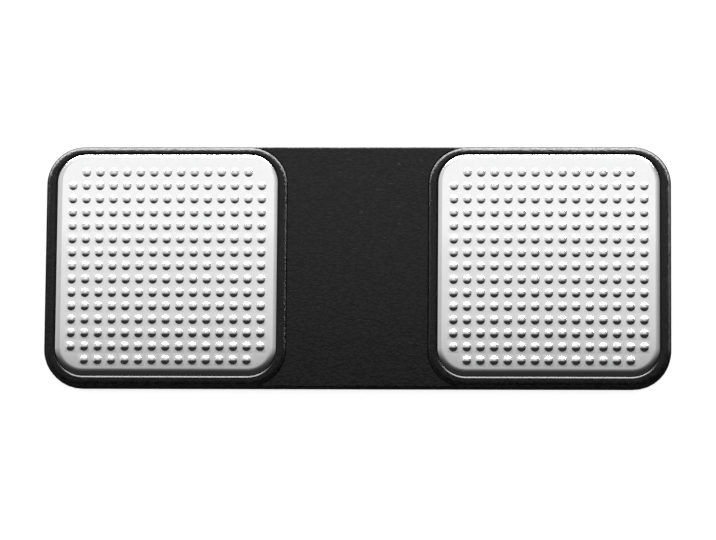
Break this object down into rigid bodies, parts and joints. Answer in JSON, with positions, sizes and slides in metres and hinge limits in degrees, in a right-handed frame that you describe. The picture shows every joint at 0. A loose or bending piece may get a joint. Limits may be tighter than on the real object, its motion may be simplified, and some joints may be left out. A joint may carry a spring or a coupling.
{
  "type": "pocket ecg recorder",
  "caption": "Slim plastic bar with bumped steel finger pads at both ends, a grained middle panel and a hinged battery door in its back, for recording a heart trace.",
  "frame": {"origin": "middle of the flat back face, which the bar lies on", "axes": "+X along the bar's length, to the right as the pads are seen; +Y across its width, up as the pads are seen; +Z out of the pads"},
  "size_m": [0.082, 0.0318, 0.0035],
  "materials": {
    "front_plastic": "moulded grain",
    "rear_plastic": "fine spark texture",
    "door_plastic": "fine spark texture",
    "pad_steel": "satin",
    "adhesive": "matte",
    "contact_brass": "gold plated",
    "board": "solder mask",
    "chip_plastic": "moulded",
    "crystal_can": "satin",
    "inductor": "ferrite",
    "capacitor": "ceramic",
    "resistor": "glazed",
    "disc_brass": "satin",
    "ceramic": "silvered",
    "glue": "cured",
    "red_lead": "insulated",
    "black_lead": "insulated",
    "cell_steel": "nickel plated",
    "cell_seal": "moulded",
    "cell_core": "pressed powder"
  },
  "bodies": {
    "housing": {"front_housing": "front_plastic", "rear_cover": "rear_plastic", "left_electrode": "pad_steel", "right_electrode": "pad_steel", "left_electrode_bond": "adhesive", "right_electrode_bond": "adhesive", "left_contact_spring": "contact_brass", "right_contact_spring": "contact_brass", "circuit_board": "board", "microcontroller": "chip_plastic", "amplifier_chip": "chip_plastic", "crystal": "crystal_can", "boost_inductor": "inductor", "board_capacitors": "capacitor", "board_resistors": "resistor", "piezo_disc": "disc_brass", "piezo_ceramic": "ceramic", "piezo_glue_ring": "glue", "piezo_signal_lead": "red_lead", "piezo_ground_lead": "black_lead", "battery_positive_contact": "contact_brass", "battery_negative_contact": "contact_brass"},
    "battery_door": {"battery_door": "door_plastic"},
    "coin_cell": {"coin_cell_can": "cell_steel", "coin_cell_cap": "cell_steel", "coin_cell_seal": "cell_seal", "coin_cell_core": "cell_core"}
  },
  "joints": [
    {"name": "door_hinge", "type": "hinge", "parent": "housing", "child": "battery_door", "pos_m": [-0.0126, 0, 0.00065], "axis": [0, 1, 0], "range_deg": [0, 90]},
    {"name": "cell_lift", "type": "slide", "parent": "housing", "child": "coin_cell", "axis": [0, 0, -1], "range_m": [0, 0.0032]}
  ],
  "couplings": [
    {"joint": "cell_lift", "follows": "door_hinge", "m_per_rad": 0.002037}
  ]
}
